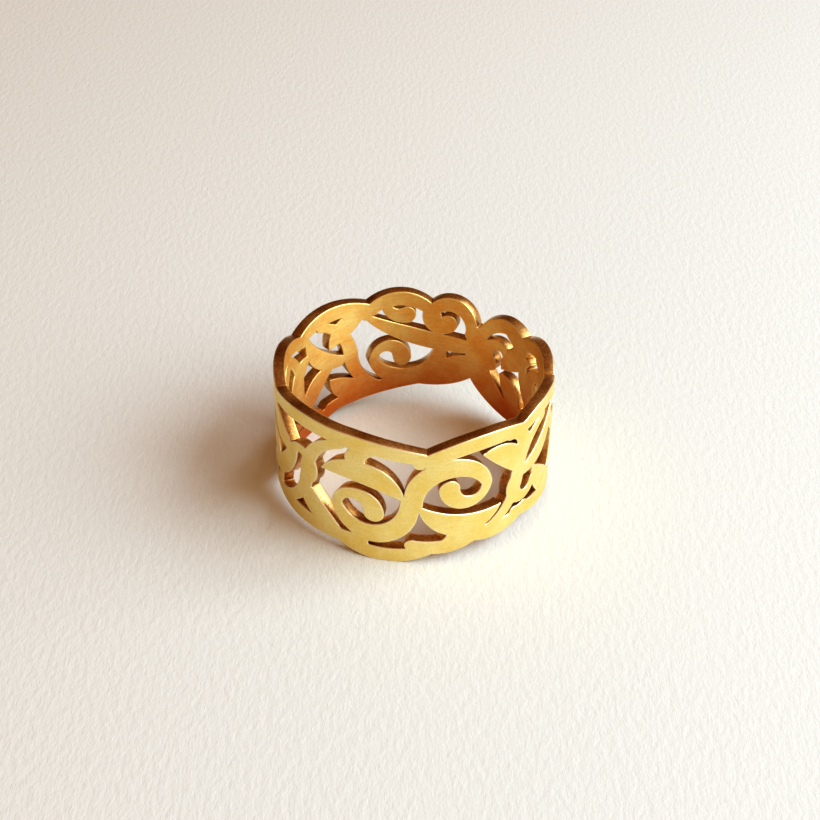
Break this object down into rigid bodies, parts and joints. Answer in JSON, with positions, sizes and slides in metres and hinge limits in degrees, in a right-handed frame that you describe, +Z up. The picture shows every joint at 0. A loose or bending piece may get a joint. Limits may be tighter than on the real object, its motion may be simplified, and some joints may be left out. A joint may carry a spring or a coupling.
{
  "type": "openwork band ring",
  "caption": "Finger ring: a metal band pierced through in flowing swashes, leaves and curls between two wavy rims, standing on its lower edge.",
  "frame": {"origin": "middle of the band's base, on the axis of the finger hole", "axes": "+Z up along the finger hole's axis, from the lower rim to the upper rim; the front of the band faces -Y"},
  "size_m": [0.0188, 0.0188, 0.0097],
  "materials": {
    "band": "gold plated, polished to a fine satin"
  },
  "bodies": {
    "root": {"band": "band"}
  },
  "joints": []
}
